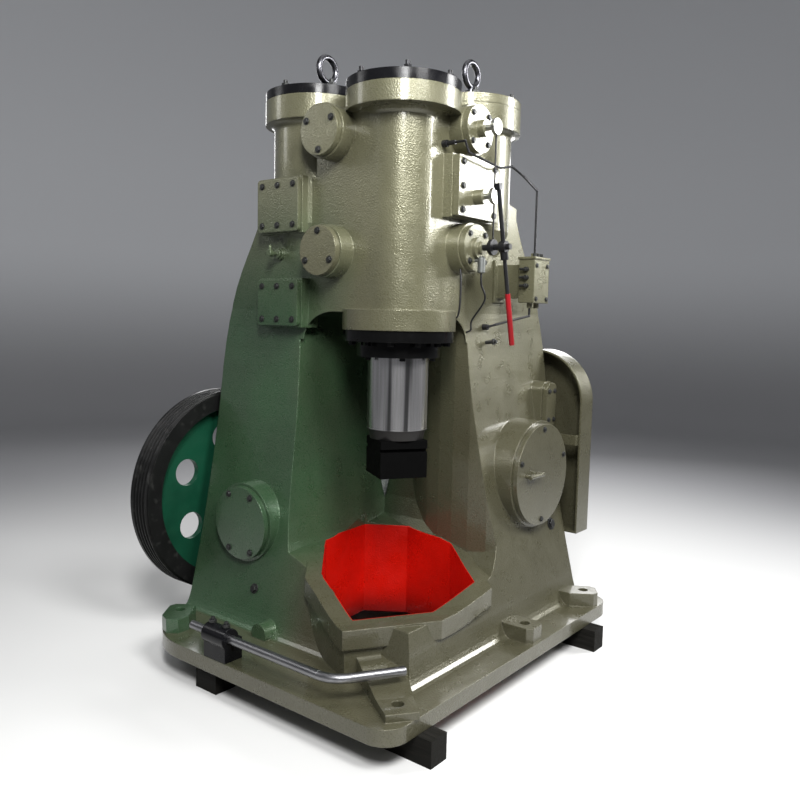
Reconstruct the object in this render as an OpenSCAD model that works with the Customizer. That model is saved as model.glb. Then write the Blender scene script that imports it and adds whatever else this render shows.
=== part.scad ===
// Large pneumatic forging hammer with one cast frame that stands corner-on.
// Origin: centre of the four corner foundation holes, on the underside of the base plate.
// +X is the normal of the valve side, -Y the normal of the treadle side, +Z is up.

/* [Node] */
// sub-part to build, or all of them

/* [Base plate] */
// base plate length along X, mm
base_x = 1400; // [1380:1500]
// base plate length along Y, mm
base_y = 1675; // [1620:1800]
// base plate thickness, mm
plate_t = 60; // [45:80]
// base plate corner radius, mm
plate_r = 95; // [60:120]
// foundation hole inset at the pulley end, mm
hole_left = 140; // [130:160]
// foundation hole inset at the valve side, mm
hole_right = 76; // [70:85]
// corner radius of the plate beside the treadle, mm
plate_big_r = 310; // [200:320]
// foundation hole inset along Y, mm
hole_in_y = 140; // [130:160]
// foundation hole radius, mm
hole_r = 22; // [16:26]
// foundation pad height above the plate, mm
pad_h = 62; // [40:70]

/* [Ram cylinder] */
// ram axis, X position, mm
ram_x = 108; // [90:120]
// ram axis, Y position, mm
ram_y = -126; // [-140:-110]
// ram radius, mm
ram_r = 125; // [110:130]
// radial running gap of the ram in its bore, mm
ram_gap = 0.05; // [0.02:0.01:0.1]
// cylinder flange radius, mm
flange_r = 233; // [228:236]
// outer radius of the frame corner round the ram, mm
corner_r = 148; // [140:156]
// underside of the lower ram flange, mm
low_flange_z = 1322; // [1300:1340]
// thickness of the lower ram flange, mm
low_flange_t = 82; // [70:90]
// top of the frame block under the flanges, mm
block_top = 2182; // [2160:2220]
// thickness of the upper flanges, mm
top_flange_t = 78; // [70:90]
// thickness of the cylinder covers, mm
cover_t = 41; // [35:50]
// distance of the rear cylinders from the ram axis, mm
rear_d = 475; // [472:490]
// body radius of the rear cylinders, mm
rear_r = 188; // [180:190]
// flange radius of the rear cylinders, mm
rear_flange_r = 226; // [222:230]
// height of the rear flanges above the ram flange, mm
rear_rise = 22; // [10:30]

/* [Ram and die] */
// lower end of the steel ram at rest, mm
ram_low = 916; // [890:940]
// length of the steel ram, mm
ram_len = 1000; // [960:1010]
// ram collar height, mm
collar_h = 39; // [35:45]
// upper die width across, mm
die_w = 200; // [170:220]
// upper die height, mm
die_h = 154; // [130:170]

/* [Throat and well] */
// left mouth edge of the throat from the ram axis, mm
mouth_x = 380; // [365:400]
// right mouth edge of the throat from the ram axis, mm
mouth_y = 250; // [235:270]
// height of the throat ceiling, mm
ceil_z = 1394; // [1380:1398]
// width of the slot that leads out at the back, mm
slot_w = 118; // [100:130]
// turn of the slot from the Y axis, degrees
slot_turn = 40; // [37:43]
// turn of the anvil well from the X axis, degrees
well_turn = 32.6; // [30:36]
// half length of the anvil well along its own axis, mm
well_a = 370; // [350:380]
// half width of the anvil well, mm
well_b = 310; // [290:320]
// height of the well rim above the underside, mm
rim_z = 250; // [235:260]
// width of the well rim band, mm
rim_w = 80; // [60:85]
// depth of the rim band, mm
rim_band = 74; // [60:80]

/* [Walls] */
// distance of the end walls from the ram axis, mm
end_x = 850; // [835:856]
// distance of the rear wall from the ram axis, mm
end_y = 890; // [870:920]
// spread of the front walls where they meet the foot, mm
foot_w = 385; // [370:400]
// reach of the foot flare from the ram axis, mm
foot_out = 448; // [430:470]

/* [Covers] */
// radius of the round covers on the treadle side, mm
round_r = 100; // [95:105]
// height of the round bosses on the treadle side, mm
boss_h = 72; // [60:78]
// height of the round bosses on the valve side, mm
valve_boss_h = 60; // [50:66]
// radius of the round valve covers, mm
valve_r = 95; // [90:98]
// thickness of the round covers, mm
round_t = 27; // [20:35]
// radius of the crankcase cover, mm
crank_r = 230; // [220:236]
// distance of the crankcase cover from the ram axis, mm
crank_y = 612; // [600:630]

/* [Valve gear] */
// height of the upper valve stem, mm
valve_up = 2140; // [2120:2150]
// middle valve stem, as a share of the way from the lower to the upper stem
mid_share = 0.43; // [0.4:0.01:0.5]
// height of the lower valve stem, mm
valve_low = 1665; // [1655:1680]
// distance of the valve stems from the ram axis, mm
valve_y = 210; // [200:216]
// lean of the hand lever away from the upright, degrees
lever_lean = 13; // [8:16]
// radius of the valve stems, mm
stem_r = 12; // [10:14]
// radius of the crank discs, mm
disc_r = 32; // [30:34]
// offset of the crank pins from the stem axis, mm
pin_off = 22; // [20:23]

/* [Pulley and guard] */
// pulley radius, mm
pulley_r = 480; // [465:485]
// pulley width, mm
pulley_w = 120; // [100:140]
// height of the pulley axis, mm
pulley_z = 536; // [528:545]
// distance of the pulley axis from the ram axis, mm
pulley_y = 107; // [95:120]
// crankshaft radius, mm
shaft_r = 55; // [45:60]
// outer radius of the guard top, mm
guard_r = 250; // [235:265]
// depth of the guard, mm
guard_d = 120; // [100:130]
// length of the straight part of the guard, mm
guard_drop = 640; // [600:680]
// guard sheet thickness, mm
guard_t = 10; // [6:12]

/* [Treadle] */
// treadle bar radius, mm
bar_r = 17; // [15:19]
// height of the treadle bar, mm
bar_z = 150; // [140:160]

/* [Hidden] */
$fn = 0;
$fa = 6;
$fs = 4;
seat = 0.3;
hx = (base_x - hole_left - hole_right) / 2;
hy = base_y / 2 - hole_in_y;
plate_x0 = -hx - hole_left;
plate_x1 = hx + hole_right;
plate_y0 = -base_y / 2;
mid_hole_y = 148;
flange_top = block_top + top_flange_t;
rear_top = flange_top + rear_rise;
rear_cover_top = rear_top + seat + cover_t - 3;
left_x = ram_x - rear_d;
right_y = ram_y + rear_d;
wall_y = ram_y - corner_r;
wall_x = ram_x + corner_r;
boss_face = corner_r + boss_h;
cover_face = boss_face + seat;
round_x = ram_x - 231;
round_hi = 2109;
round_lo = 1637;
side_x = ram_x - 626;
side_w = 246;
side_boss = 44;
side_hi = 1726;
side_hi_h = 222;
side_lo = 1330;
side_lo_h = 196;
low_disc_x = ram_x - 552;
low_disc_z = 485;
low_disc_r = 158;
crank_z = 685;
crank_boss = 78;
cap_z = 867;
cap_h = 216;
cap_y = ram_y + end_y - 98;
cap_w = 94;
valve_mid = valve_low + (valve_up - valve_low) * mid_share;
plate_z0 = valve_low + valve_r + 26;
plate_z1 = valve_up - valve_r - 22;
plate_ya = ram_y + valve_y - 125;
plate_w = 290;
plate_boss = 44;
gland_t = 45;
follow_t = 62;
follow_r = 172;
crank_disc_x = ram_x + 300;
lever_x = ram_x + 352;
disc_t = 16;
rod_t = 9;
pin_r = 5;
box_y = ram_y + 462;
box_z = 1450;
box_x = ram_x + 288;
win_left = (mouth_x + corner_r + 20) * 0.7071 - 120;
win_right = (mouth_y + corner_r + 20) * 0.7071 - 120;
floor_z = rim_z - 9;
guard_x = ram_x + 125;
guard_y = ram_y + end_y + 62;
guard_z = 985;
treadle_y = plate_y0 + 27;
bend_x = ram_x + 222;
bend_r = 120;
bend = 58;
beam_h = 95;

// point on a cubic curve
function cub(a, b, c, d, t) = a * pow(1 - t, 3) + 3 * b * t * pow(1 - t, 2)
  + 3 * c * t * t * (1 - t) + d * pow(t, 3);
// list of points on a cubic curve, first point left out
function curve(a, b, c, d, n) = [for (i = [1 : n]) cub(a, b, c, d, i / n)];

// front wall in section: distance from the ram axis against height
wall_pts = concat([[corner_r, 1400]],
  curve([corner_r, 1400], [corner_r + 12, 1150], [corner_r + 110, 620], [foot_w, 180], 10),
  curve([foot_w, 180], [foot_w + 14, 125], [foot_w + 32, plate_t + 4], [foot_out, plate_t], 7));
// wall reach at one height, by straight lines between the points
function reach(z, i = 0) = i >= len(wall_pts) - 1 ? foot_out :
  z >= wall_pts[i + 1][1] ? wall_pts[i][0] + (wall_pts[i + 1][0] - wall_pts[i][0])
    * (wall_pts[i][1] - z) / (wall_pts[i][1] - wall_pts[i + 1][1]) : reach(z, i + 1);

// closed section of the body: front wall on the right, far wall on the left
module body_section(far, top_far) {
  polygon(concat(
    [[corner_r, block_top]],
    wall_pts,
    [[-far, plate_t], [-far - 50, 1130]],
    curve([-far - 50, 1130], [-far - 60, 1500], [-top_far - 100, 1600], [-top_far, 1830], 9),
    [[-top_far, 1880], [-rear_d + 140, 1950], [-rear_d + 140, block_top]]));
}

// tube or rod along X
module rod_x(x, y, z, r, l) {
  translate([x, y, z]) rotate([0, 90, 0]) cylinder(h = l, r = r);
}

// disc whose axis points to -Y, from face y back by t
module disc_y(x, y, z, r, t) {
  translate([x, y + t, z]) rotate([90, 0, 0]) cylinder(h = t, r = r);
}

// upper part of a cylinder: body, fillet and flange on one axis
module flange_body(r, z0, zf, zt, f, fr = flange_r) {
  cylinder(h = zf - z0, r = r);
  translate([0, 0, zf - z0]) cylinder(h = zt - zf, r = fr);
  translate([0, 0, zf - z0]) rotate_extrude() difference() {
    translate([r - 1, -f]) square([f + 1, f]);
    translate([r + f, -f]) circle(r = f);
  }
}

// plan of the anvil well grown by g
module well_plan(g = 0) {
  a = well_a;
  b = well_b;
  translate([ram_x, ram_y]) rotate(-well_turn) scale((a + g) / a) polygon([
    [a, -0.91 * b], [a, 0.11 * b], [0.58 * a, 0.89 * b], [-0.14 * a, 0.91 * b],
    [-0.79 * a, 0.53 * b], [-a, -0.06 * b], [-0.52 * a, -0.80 * b], [0.20 * a, -1.07 * b]]);
}

// line of the rim from the open corner to the back: low in front, then up to a level shelf
function rim_line(front, back) = concat([[-1500, rim_z + front], [-400, rim_z + front]],
  curve([-400, rim_z + front], [-300, rim_z + 15 + front], [-240, rim_z + 50 + front], [-150, rim_z + 70 + front], 5),
  curve([-150, rim_z + 70 + front], [-60, rim_z + 90 + front], [20, rim_z + 140 + back],
    [120, rim_z + 148 + back], 5));

// solid below the rim line
module below_rim(drop) {
  translate([ram_x, ram_y, 0]) rotate([90, 0, 180 - well_turn]) translate([0, 0, -900])
    linear_extrude(height = 1800) polygon(concat([[-1500, plate_t - 1]], rim_line(-drop, -drop),
      [[900, rim_z + 148 - drop], [900, plate_t - 1]]));
}

// plan of the throat: open to the corner, narrowing to the slot at the back
module throat_plan() {
  c = [-(mouth_x + 55), 330];
  d = c + slot_w * [cos(slot_turn), sin(slot_turn)];
  translate([ram_x, ram_y]) polygon(concat(
    [[1100, -1200], [-mouth_x - 60, -1200]],
    curve([-mouth_x - 60, -150], [-mouth_x - 60, -20], [-mouth_x - 64, 140], c, 6),
    [d],
    curve(d, [d[0] + 110, mouth_y + 150], [60, mouth_y - 68], [corner_r + 220, mouth_y + 60], 10),
    [[1100, mouth_y + 340]]));
}

module throat() {
  intersection() {
    translate([0, 0, floor_z]) linear_extrude(height = ceil_z - floor_z) throat_plan();
    // window with rounded upper corners, looking along the diagonal
    translate([ram_x, ram_y, 0]) rotate([90, 0, 45]) translate([0, 0, -1700])
      linear_extrude(height = 3400) union() {
        translate([-1600, 0]) square([3200, ceil_z - 120]);
        translate([-win_left, ceil_z - 300]) square([win_left + win_right, 300]);
        for (x = [-win_left, win_right]) translate([x, ceil_z - 120]) circle(r = 120);
      }
    throat_left();
    throat_right();
    // floor that sweeps up towards the back
    translate([ram_x, ram_y, 0]) rotate([90, 0, 180 - well_turn]) translate([0, 0, -1700])
      linear_extrude(height = 3400) polygon(concat(
        [[-1500, ceil_z + 10]], rim_line(-9, 3), curve([120, rim_z + 151], [330, rim_z + 151],
        [520, rim_z + 190], [560, rim_z + 330], 8), [[1500, rim_z + 400], [1500, ceil_z + 10]]));
  }
  slot();
}

// left wall of the throat: leans in towards the anvil and ends in a wide fillet
module throat_left() {
  translate([ram_x, ram_y + 1500, 0]) rotate([90, 0, 0]) linear_extrude(height = 3000) polygon(concat(
    [[1500, floor_z - 20], [1500, 1500], [-mouth_x - 100, 1500], [-mouth_x - 36, 1290], [-mouth_x, 950]],
    curve([-mouth_x, 950], [-mouth_x + 30, 560], [-mouth_x + 60, 300], [-mouth_x + 200, floor_z - 20], 9)));
}

// right wall: upright, with the same kind of fillet at its foot
module throat_right() {
  translate([ram_x - 1500, ram_y, 0]) rotate([90, 0, 90]) linear_extrude(height = 3000) polygon(concat(
    [[-1500, 1500], [-1500, floor_z - 20]],
    curve([-40, floor_z - 20], [150, floor_z - 10], [mouth_y + 80, floor_z + 59], [mouth_y + 100, 640], 9),
    [[mouth_y + 140, 737], [mouth_y + 260, 1500]]));
}

// tall slot with a narrow rounded foot that runs out through the back
module slot() {
  w = slot_w / 2;
  translate([ram_x - 372, ram_y + 352, 0]) rotate([90, 0, slot_turn]) translate([0, 0, -1500])
    linear_extrude(height = 1540) polygon(concat(
      [[-w, ceil_z - 130], [-w, 720]],
      curve([-w, 720], [-w + 6, 560], [-26, 452], [0, 446], 7),
      curve([0, 446], [26, 452], [w - 6, 560], [w, 720], 7),
      [[w, ceil_z - 130]]));
}

module body() {
  difference() {
    intersection() {
      translate([ram_x, base_y, 0]) rotate([90, 0, 0]) linear_extrude(height = 2 * base_y)
        body_section(end_x, rear_d + rear_r);
      translate([-base_x, ram_y, 0]) rotate([90, 0, 90]) linear_extrude(height = 2 * base_x)
        mirror([1, 0]) body_section(end_y, rear_d + rear_r);
    }
    // round the corner that faces the ram
    translate([ram_x, ram_y, ceil_z]) difference() {
      translate([0, -corner_r - 30, 0]) cube([corner_r + 30, corner_r + 30, block_top - ceil_z + 5]);
      translate([0, 0, -1]) cylinder(h = block_top - ceil_z + 10, r = corner_r);
    }
  }
}

// pad of a foundation hole, pointing back to the wall
module pad(x, y, turn) {
  translate([x, y, plate_t - 1]) rotate(turn) linear_extrude(height = pad_h + 1) polygon([
    [-70, -56], [40, -56], [62, -34], [62, 34], [40, 56], [-70, 56], [-118, 25], [-118, -25]]);
}

// ramp from the corner hole up to the well
module corner_ramp() {
  translate([hx, -hy, 0]) rotate(143) intersection() {
    translate([0, 100, 0]) rotate([90, 0, 0]) linear_extrude(height = 200) polygon([
      [-66, plate_t - 1], [-66, plate_t + 28], [40, plate_t + 30], [380, plate_t + 98], [380, plate_t - 1]]);
    linear_extrude(height = 400) polygon([[-66, -58], [380, -92], [380, 92], [-66, 58]]);
  }
}

module frame_casting() {
  color([0.33, 0.34, 0.22]) difference() {
    union() {
      linear_extrude(height = plate_t) difference() {
        translate([plate_x0, plate_y0]) square([base_x, base_y]);
        for (c = [[plate_x1, plate_y0, 90, plate_r], [plate_x1, -plate_y0, 180, plate_r],
            [plate_x0, -plate_y0, 270, plate_big_r], [plate_x0, plate_y0, 0, plate_big_r]])
          translate([c[0], c[1]]) rotate(c[2]) difference() {
            translate([-1, -1]) square(c[3] + 1);
            translate([c[3], c[3]]) circle(r = c[3]);
          }
      }
      difference() {
        body();
        throat();
      }
      // pedestal and rim band of the anvil well
      intersection() {
        translate([0, 0, plate_t - 1]) linear_extrude(height = 500) well_plan(rim_w - 16);
        below_rim(2);
      }
      intersection() {
        translate([0, 0, plate_t - 1]) linear_extrude(height = 500) well_plan(rim_w);
        difference() {
          below_rim(0);
          below_rim(rim_band);
        }
      }
      // ram cylinder flanges
      translate([ram_x, ram_y, block_top - 200])
        flange_body(corner_r - 4, block_top - 200, block_top, flange_top, 40);
      translate([ram_x, ram_y, low_flange_z]) cylinder(h = low_flange_t, r = flange_r);
      // rear cylinders
      for (p = [[left_x, ram_y], [ram_x, right_y]]) translate([p[0], p[1], 0]) {
        translate([0, 0, 1642]) cylinder(h = 120, r1 = rear_r - 42, r2 = rear_r);
        translate([0, 0, 1760]) flange_body(rear_r, 1760, rear_top - 96, rear_top, 26, rear_flange_r);
      }
      // round bosses on the treadle side
      for (z = [round_hi, round_lo]) disc_y(round_x, ram_y - boss_face, z, round_r + 8, boss_h + 40);
      // flat bosses under the side plates
      for (z = [[side_hi, side_hi_h], [side_lo, side_lo_h]])
        translate([side_x - 6, ram_y - corner_r - side_boss, z[0] - 6]) cube([side_w + 12, 100, z[1] + 12]);
      disc_y(low_disc_x, ram_y - reach(low_disc_z) - 46, low_disc_z, low_disc_r + 12, 170);
      disc_y(ram_x - 548, ram_y - corner_r - 14, 1639, 26, 80);
      // bosses on the valve side
      for (z = [valve_up, valve_low]) rod_x(wall_x - 30, ram_y + valve_y, z, valve_r + 8, valve_boss_h + 30);
      translate([wall_x - 30, plate_ya - 6, plate_z0 - 6])
        cube([30 + plate_boss, plate_w + 12, plate_z1 - plate_z0 + 12]);
      rod_x(ram_x + 150, ram_y + crank_y, crank_z, crank_r + 12, reach(crank_z) - 150 + crank_boss);
      translate([ram_x + reach(cap_z) + 26, cap_y - 6, cap_z - 6]) rotate([0, 0, 90])
        soft_plate(cap_w + 12, cap_h + 12, reach(cap_z) - 94, 43);
      // rounded boss behind the treadle bearing
      translate([ram_x - 322, ram_y - foot_out + 70, plate_t + 22]) rotate([90, 0, 0])
        cylinder(h = 92, r = 42);
      corner_ramp();
      pad(-hx, -hy, 128);
      pad(hx, hy, 35);
      pad(-hx, hy, 235);
      pad(hx, mid_hole_y, 0);
    }
    // open anvil well
    translate([0, 0, -5]) linear_extrude(height = 475) well_plan();
    throat_trim();
    // ram bore
    translate([ram_x, ram_y, low_flange_z - 5]) cylinder(h = flange_top - low_flange_z + 10, r = ram_r + ram_gap);
    // foundation holes
    for (sx = [-1, 1], sy = [-1, 1]) translate([sx * hx, sy * hy, -5]) cylinder(h = 200, r = hole_r);
    translate([hx, mid_hole_y, -5]) cylinder(h = 200, r = hole_r);
    // crankshaft bore
    rod_x(ram_x - end_x - 60, ram_y - pulley_y, pulley_z, shaft_r + ram_gap, 330);
    // bores for the valve stems
    for (z = [valve_up, valve_mid, valve_low]) rod_x(wall_x - 70, ram_y + valve_y, z, stem_r + ram_gap, 200);
  }
}

// keeps the well and ram space clear inside the throat
module throat_trim() {
  translate([ram_x, ram_y, rim_z + 60]) cylinder(h = low_flange_z - rim_z - 60, r = ram_r + 60);
}

module cover_disc(x, y, z, t, r) {
  translate([x, y, z + seat]) cylinder(h = t, r = r);
}

module ram_cylinder_cover() {
  color([0.06, 0.06, 0.06]) difference() {
    cover_disc(ram_x, ram_y, flange_top, cover_t, flange_r - 1);
    for (a = [0 : 60 : 300]) translate([ram_x, ram_y, flange_top]) rotate(a + 12) translate([flange_r - 34, 0, -5])
      cylinder(h = cover_t + 20, r = 10);
  }
}

module left_cylinder_cover() {
  color([0.06, 0.06, 0.06]) cover_disc(left_x, ram_y, rear_top, cover_t - 3, rear_flange_r - 1);
}

module right_cylinder_cover() {
  color([0.33, 0.34, 0.22]) cover_disc(ram_x, right_y, rear_top, cover_t - 3, rear_flange_r - 1);
}

module eye(x, y, z, turn) {
  translate([x, y, z]) {
    cylinder(h = 16, r = 27);
    cylinder(h = 34, r = 16);
    translate([0, 0, 82]) rotate([0, 0, turn]) rotate([90, 0, 0]) rotate_extrude()
      translate([50, 0]) circle(r = 13);
  }
}

module eye_bolt_left() {
  color([0.08, 0.08, 0.08]) eye(left_x + 110, ram_y - 60, rear_cover_top + seat, 90);
}

module eye_bolt_right() {
  color([0.08, 0.08, 0.08]) eye(ram_x + 97, right_y - 140, rear_cover_top + seat, 90);
}

module cover_studs() {
  color([0.08, 0.08, 0.08]) for (a = [0 : 60 : 300]) translate([ram_x, ram_y, flange_top]) rotate(a + 12)
    translate([flange_r - 34, 0, 0]) {
      translate([0, 0, seat]) cylinder(h = cover_t + 32, r = 9.9);
      translate([0, 0, cover_t + 2 * seat]) cylinder(h = 14, r = 17, $fn = 6);
    }
}

module gland_ring() {
  color([0.05, 0.05, 0.05]) translate([ram_x, ram_y, low_flange_z - seat - gland_t]) difference() {
    union() {
      cylinder(h = gland_t, r = flange_r - 6);
      for (a = [0 : 30 : 330]) rotate(a) translate([flange_r - 34, 0, -16]) cylinder(h = 16, r = 15, $fn = 6);
    }
    translate([0, 0, -5]) cylinder(h = gland_t + 10, r = ram_r + ram_gap);
  }
}

module gland_follower() {
  color([0.05, 0.05, 0.05]) translate([ram_x, ram_y, low_flange_z - 2 * seat - gland_t - follow_t])
    difference() {
      union() {
        cylinder(h = follow_t, r = follow_r);
        for (a = [15 : 60 : 315]) rotate(a) translate([follow_r - 22, 0, -12])
          cylinder(h = 12, r = 13, $fn = 6);
      }
      translate([0, 0, -15]) cylinder(h = follow_t + 20, r = ram_r + ram_gap);
    }
}

module ram() {
  color([0.75, 0.75, 0.76]) translate([ram_x, ram_y, ram_low]) {
    cylinder(h = ram_len, r = ram_r);
    translate([0, 0, -collar_h]) cylinder(h = collar_h, r1 = ram_r - 14, r2 = ram_r - 6);
  }
}

module upper_die() {
  color([0.05, 0.05, 0.05]) translate([ram_x, ram_y, ram_low - collar_h - seat - die_h])
    rotate(-well_turn) translate([-die_w / 2, -die_w / 2, 0]) difference() {
      cube([die_w, die_w, die_h]);
      for (s = [0, 1]) translate([s * die_w, -1, die_h - 34]) mirror([s, 0, 0])
        translate([-1, 0, -14]) cube([15, die_w + 2, 14]);
    }
}

module round_cover(z, turn) {
  color([0.33, 0.34, 0.22]) difference() {
    disc_y(round_x, ram_y - cover_face - round_t, z, round_r, round_t);
    for (a = [30, 150, 270]) translate([round_x, ram_y - cover_face - round_t - 1, z]) rotate([0, a + turn, 0])
      translate([round_r - 22, 0, 0]) rotate([-90, 0, 0]) cylinder(h = 9, r = 9);
  }
}

module upper_round_cover() {
  round_cover(round_hi, 180);
}

module lower_round_cover() {
  round_cover(round_lo, 0);
}

// upright plate with rounded corners, standing on edge: w along the face, h up, t thick
module soft_plate(w, h, t, r) {
  rotate([90, 0, 0]) translate([0, 0, -t]) linear_extrude(height = t) {
    translate([r, 0]) square([w - 2 * r, h]);
    translate([0, r]) square([w, h - 2 * r]);
    for (x = [r, w - r], y = [r, h - r]) translate([x, y]) circle(r = r);
  }
}

module side_plate(z, h) {
  y = ram_y - corner_r - side_boss - seat - 20;
  color([0.33, 0.34, 0.22]) difference() {
    translate([side_x, y, z]) soft_plate(side_w, h, 20, 14);
    for (i = [0, 1, 2], j = [0, 1]) translate([side_x + 30 + i * (side_w - 60) / 2, y - 1, z + 28 + j * (h - 56)])
      rotate([-90, 0, 0]) cylinder(h = 9, r = 9);
  }
}

module upper_side_plate() {
  side_plate(side_hi, side_hi_h);
}

module lower_side_plate() {
  side_plate(side_lo, side_lo_h);
}

module oil_fitting() {
  x = ram_x - 548;
  y = ram_y - corner_r - 14 - seat;
  color([0.25, 0.3, 0.2]) {
    disc_y(x, y - 12, 1639, 20, 12);
    disc_y(x, y - 52, 1639, 9, 45);
    disc_y(x, y - 60, 1639, 15, 22);
    translate([x, y - 49, 1639]) cylinder(h = 34, r = 7);
  }
}

module left_side_cover() {
  color([0.1, 0.25, 0.15])
    disc_y(low_disc_x, ram_y - reach(low_disc_z) - 46 - seat - 24, low_disc_z, low_disc_r, 24);
}

module upper_valve_cover() {
  color([0.33, 0.34, 0.22]) difference() {
    union() {
      rod_x(wall_x + valve_boss_h + seat, ram_y + valve_y, valve_up, valve_r, round_t);
      rod_x(wall_x + valve_boss_h + seat, ram_y + valve_y, valve_up, 34, round_t + 30);
    }
    rod_x(wall_x, ram_y + valve_y, valve_up, stem_r + ram_gap, 200);
  }
}

module valve_plate() {
  color([0.33, 0.34, 0.22]) difference() {
    union() {
      translate([wall_x + plate_boss + seat, plate_ya, plate_z0]) cube([30, plate_w, plate_z1 - plate_z0]);
      rod_x(wall_x + plate_boss + seat, ram_y + valve_y, valve_mid, 30, 74);
    }
    rod_x(wall_x, ram_y + valve_y, valve_mid, stem_r + ram_gap, 200);
    for (y = [28, plate_w - 28], k = [0, 1, 2]) rod_x(wall_x + plate_boss + seat + 22, plate_ya + y,
      plate_z0 + 24 + k * (plate_z1 - plate_z0 - 48) / 2, 9, 20);
  }
}

module lower_valve_cover() {
  x = wall_x + valve_boss_h + seat;
  color([0.33, 0.34, 0.22]) difference() {
    union() {
      rod_x(x, ram_y + valve_y, valve_low, valve_r, round_t);
      rod_x(x, ram_y + valve_y, valve_low, 44, round_t + 16);
      rod_x(x, ram_y + valve_y, valve_low, 26, round_t + 30);
    }
    rod_x(wall_x, ram_y + valve_y, valve_low, stem_r + ram_gap, 200);
  }
}

// stem with a crank disc; the pin sticks out of the disc towards the frame
module crank(z) {
  rod_x(wall_x - 60, ram_y + valve_y, z, stem_r, crank_disc_x - wall_x + 60 + 4);
  rod_x(crank_disc_x, ram_y + valve_y, z, disc_r, disc_t);
  rod_x(crank_disc_x - rod_t - 2, ram_y + valve_y + pin_off, z, pin_r, rod_t + 4);
}

module upper_crank() {
  color([0.7, 0.7, 0.68]) crank(valve_up);
}

module middle_crank() {
  color([0.7, 0.7, 0.68]) crank(valve_mid);
}

module hand_lever() {
  color([0.05, 0.05, 0.05]) {
    crank(valve_low);
    rod_x(crank_disc_x + 4, ram_y + valve_y, valve_low, stem_r, lever_x - crank_disc_x + 36);
    rod_x(lever_x - 4, ram_y + valve_y, valve_low, 24, 26);
    translate([lever_x + 8, ram_y + valve_y, valve_low]) rotate([lever_lean, 0, 0]) {
      translate([0, 0, 18]) cylinder(h = 210, r = 9);
      translate([-12, -13, 222]) cube([24, 26, 26]);
    }
    translate([lever_x + 8, ram_y + valve_y, valve_low]) rotate([180 + lever_lean, 0, 0]) {
      translate([0, 0, 18]) cylinder(h = 34, r = 16);
      translate([0, 0, 18]) cylinder(h = 380, r = 8);
    }
  }
}

module lever_grip() {
  color([0.55, 0.03, 0.04]) translate([lever_x + 8, ram_y + valve_y, valve_low]) rotate([180 + lever_lean, 0, 0])
    translate([0, 0, 190]) difference() {
      cylinder(h = 214, r = 11);
      translate([0, 0, -5]) cylinder(h = 213, r = 8 + 0.05);
    }
}

module link_rod() {
  y = ram_y + valve_y + pin_off;
  x0 = crank_disc_x - rod_t - 1;
  color([0.05, 0.05, 0.05]) difference() {
    union() {
      translate([x0 + rod_t / 2, y, valve_low]) cylinder(h = valve_up - valve_low, r = 3.5);
      for (z = [valve_up, valve_mid, valve_low]) rod_x(x0, y, z, 9, rod_t);
    }
    rod_x(x0 - 5, y, valve_low, pin_r + 0.05, rod_t + 10);
    for (z = [valve_up, valve_mid]) rod_x(x0 - 5, y, z, pin_r + 0.8, rod_t + 10);
  }
}

module lubricator_box() {
  x = wall_x + seat;
  color([0.33, 0.34, 0.22]) {
    // bracket with a foot on the wall
    translate([x, box_y + 14, box_z]) cube([12, 100, 186]);
    translate([x, box_y + 34, box_z + 20]) cube([box_x - x + 2, 60, 146]);
    translate([box_x, box_y, box_z]) cube([76, 128, 186]);
    translate([box_x - 4, box_y - 4, box_z + 186]) cube([84, 136, 10]);
    translate([box_x + 38, box_y + 64, box_z + 196]) cylinder(h = 18, r = 16);
    for (y = [34, 92]) translate([box_x + 38, box_y + y, box_z - 22]) cylinder(h = 24, r = 12);
  }
}

module pipe_run(pts, r) {
  for (i = [0 : len(pts) - 2]) {
    d = pts[i + 1] - pts[i];
    l = norm(d);
    translate(pts[i]) rotate([0, acos(d[2] / l), atan2(d[1], d[0])]) cylinder(h = l, r = r);
  }
  for (i = [1 : len(pts) - 2]) translate(pts[i]) sphere(r = r + 1);
}

module oil_pipes() {
  px = wall_x + 106;
  color([0.05, 0.05, 0.05]) {
    // wall fitting and the long line over to the lubricator
    rod_x(wall_x + seat, ram_y + 72, 2066, 14, 22);
    rod_x(wall_x + seat + 20, ram_y + 72, 2066, 9, 40);
    pipe_run([[wall_x + 40, ram_y + 72, 2066], [px, ram_y + 72, 2066], [px, ram_y + 100, 2026],
      [px, ram_y + 340, 2004], [px, ram_y + 430, 2024], [px + 20, box_y + 40, 1990],
      [box_x + 38, box_y + 64, 1930], [box_x + 38, box_y + 64, box_z + 196 + 18 + seat]], 5);
    // delivery line back to the wall
    pipe_run([[box_x + 38, box_y + 34, box_z - 22 - seat], [box_x + 38, box_y + 34, box_z - 56],
      [wall_x + 60, box_y - 44, box_z - 96], [wall_x + 24, box_y - 60, box_z - 108]], 5);
    rod_x(ram_x + reach(box_z - 121) + seat, box_y - 60, box_z - 108, 13, 24);
  }
}

module crankcase_cover() {
  color([0.33, 0.34, 0.22])
    rod_x(ram_x + reach(crank_z) + crank_boss + seat, ram_y + crank_y, crank_z, crank_r, 24);
}

module cover_handle() {
  x = ram_x + reach(crank_z) + crank_boss + 24 + 2 * seat;
  color([0.33, 0.34, 0.22]) {
    for (y = [-150, -50]) rod_x(x, ram_y + crank_y + y, crank_z + 10, 9, 34);
    translate([x + 26, ram_y + crank_y - 160, crank_z + 10]) rotate([-90, 0, 0]) cylinder(h = 120, r = 9.5);
  }
}

module bearing_cap() {
  x = ram_x + reach(cap_z) + 26 + seat;
  color([0.33, 0.34, 0.22]) difference() {
    translate([x + 24, cap_y, cap_z]) rotate([0, 0, 90]) soft_plate(cap_w, cap_h, 24, 38);
    for (y = [22, cap_w - 22], z = [40, cap_h - 40]) rod_x(x + 16, cap_y + y, cap_z + z, 8, 14);
  }
}

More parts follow.
